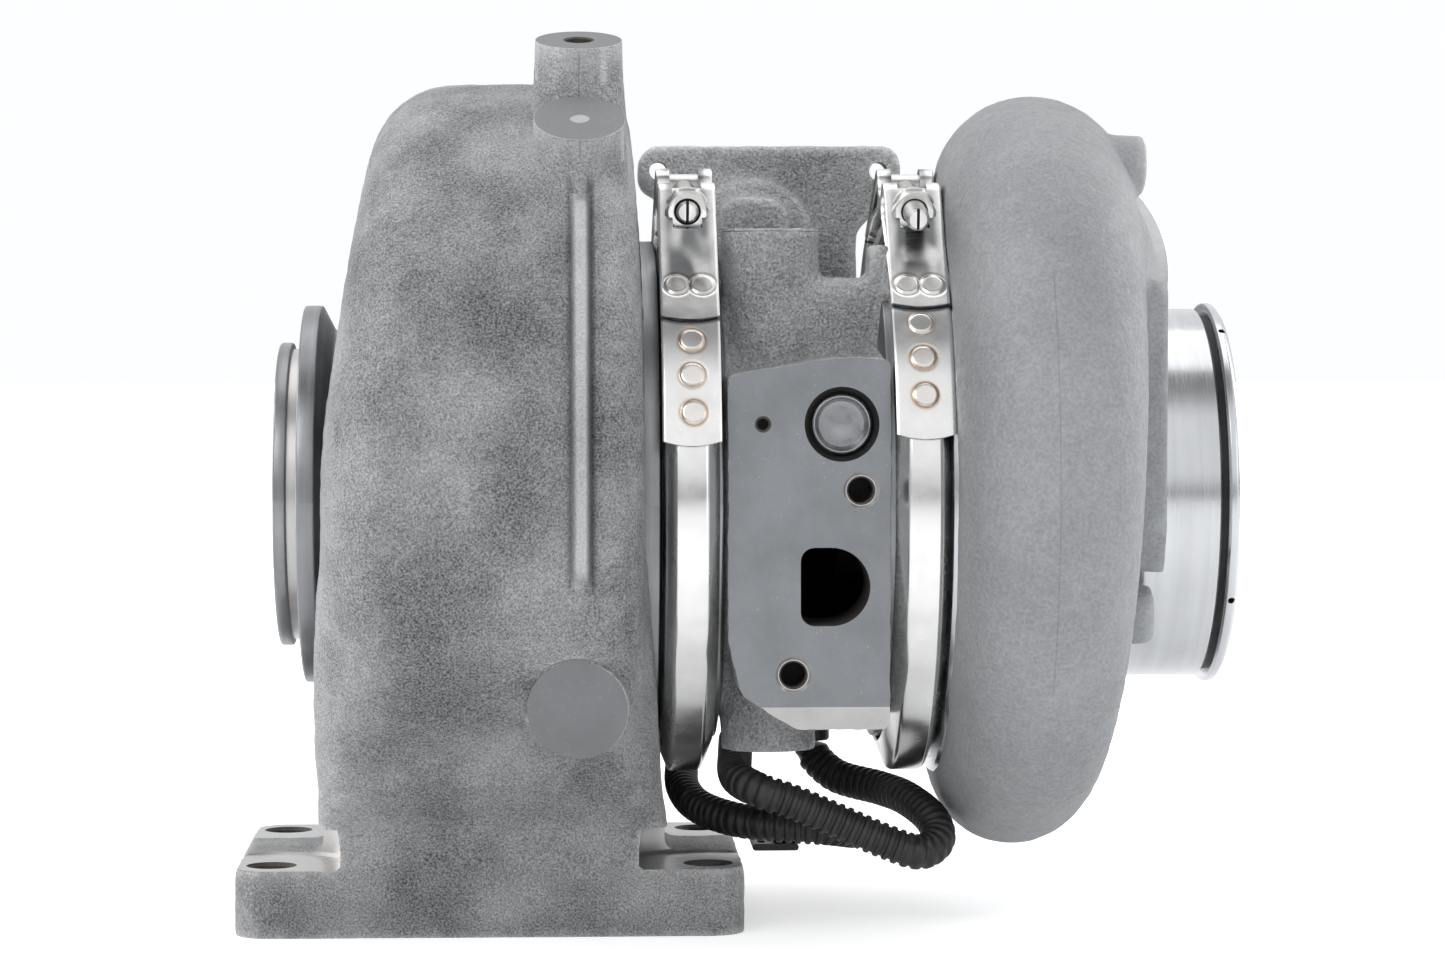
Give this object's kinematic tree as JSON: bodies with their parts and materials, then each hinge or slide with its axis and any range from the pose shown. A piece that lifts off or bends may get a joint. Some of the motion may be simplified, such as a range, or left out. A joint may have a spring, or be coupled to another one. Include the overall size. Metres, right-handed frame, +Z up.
{
  "type": "turbocharger",
  "caption": "Diesel turbocharger with a sliding nozzle ring: turbine volute on a flanged foot, oil-drained bearing housing between V-band clamps, compressor scroll with inlet tube.",
  "frame": {"origin": "centre of the turbine inlet foot's bottom face, on the divider between the two ports", "axes": "+X along the rotor axis from the turbine towards the compressor, +Z up from the foot, -Y towards the oil drain pad"},
  "size_m": [0.3365, 0.2777, 0.3017],
  "materials": {
    "cast_iron": "sand-cast and blasted, matt mid grey",
    "bearing_iron": "rough cast with machined faces",
    "cast_aluminium": "satin as cast",
    "machined_aluminium": "bright machined",
    "nickel_alloy": "cast nickel alloy, dull",
    "stainless": "rolled and polished, heat tint at the spot welds",
    "steel": "machined",
    "gasket_steel": "pressed sheet",
    "bronze": "turned",
    "rubber": "moulded",
    "black_plastic": "moulded and corrugated"
  },
  "bodies": {
    "housings": {"turbine_housing": "cast_iron", "shroud_plate": "nickel_alloy", "shroud_retaining_ring": "steel", "turbine_seal_ring": "steel", "heat_shield": "nickel_alloy", "flange_gasket": "gasket_steel", "locating_dowel": "steel", "bearing_housing": "bearing_iron", "bearing_stop_ring_turbine": "steel", "bearing_stop_ring_compressor": "steel", "thrust_bearing": "bronze", "thrust_bearing_screw_1": "steel", "thrust_bearing_screw_2": "steel", "thrust_bearing_screw_3": "steel", "compressor_seal_ring": "steel", "oil_baffle": "nickel_alloy", "compressor_back_plate": "cast_aluminium", "back_plate_o_ring": "rubber", "back_plate_bolt_1": "steel", "back_plate_bolt_2": "steel", "back_plate_bolt_3": "steel", "back_plate_bolt_4": "steel", "compressor_housing": "cast_aluminium", "inlet_ring": "machined_aluminium", "cross_shaft_bush_front": "bronze", "cross_shaft_bush_rear": "bronze", "cross_shaft_seal": "rubber", "core_plug": "steel", "turbine_clamp_band": "stainless", "turbine_clamp_front_strap": "stainless", "turbine_clamp_rear_strap": "stainless", "turbine_clamp_t_bolt": "steel", "turbine_clamp_trunnion": "steel", "turbine_clamp_nut": "steel", "compressor_clamp_band": "stainless", "compressor_clamp_front_strap": "stainless", "compressor_clamp_rear_strap": "stainless", "compressor_clamp_t_bolt": "steel", "compressor_clamp_trunnion": "steel", "compressor_clamp_nut": "steel", "speed_sensor": "black_plastic", "sensor_conduit": "black_plastic", "connector_conduit": "black_plastic", "harness_connector": "black_plastic"},
    "rotor": {"turbine_wheel_and_shaft": "nickel_alloy", "compressor_wheel": "machined_aluminium", "shaft_nut": "steel", "thrust_collar": "steel", "oil_slinger": "steel"},
    "turbine_journal": {"journal_bearing_turbine": "bronze"},
    "compressor_journal": {"journal_bearing_compressor": "bronze"},
    "cross_shaft_lever": {"cross_shaft": "steel", "fork_arm_front": "steel", "fork_arm_rear": "steel", "sector_gear": "steel"},
    "nozzle": {"nozzle_ring": "nickel_alloy", "push_rod_front": "nickel_alloy", "push_rod_rear": "nickel_alloy"}
  },
  "joints": [
    {"name": "rotor_spin", "type": "hinge", "parent": "housings", "child": "rotor", "pos_m": [0.098, 0, 0.1444], "axis": [1, 0, 0], "continuous": true},
    {"name": "turbine_journal_spin", "type": "hinge", "parent": "housings", "child": "turbine_journal", "pos_m": [0.0795, 0, 0.1444], "axis": [1, 0, 0], "continuous": true},
    {"name": "compressor_journal_spin", "type": "hinge", "parent": "housings", "child": "compressor_journal", "pos_m": [0.1165, 0, 0.1444], "axis": [1, 0, 0], "continuous": true},
    {"name": "cross_shaft_turn", "type": "hinge", "parent": "housings", "child": "cross_shaft_lever", "pos_m": [0.115, 0, 0.1707], "axis": [0, 1, 0], "range_deg": [-14, 14]},
    {"name": "nozzle_slide", "type": "slide", "parent": "housings", "child": "nozzle", "axis": [1, 0, 0], "range_m": [-0.0061, 0.0061]}
  ],
  "couplings": [
    {"joint": "turbine_journal_spin", "follows": "rotor_spin", "ratio": 0.3},
    {"joint": "compressor_journal_spin", "follows": "rotor_spin", "ratio": 0.3},
    {"joint": "cross_shaft_turn", "follows": "nozzle_slide", "rad_per_m": -40}
  ]
}
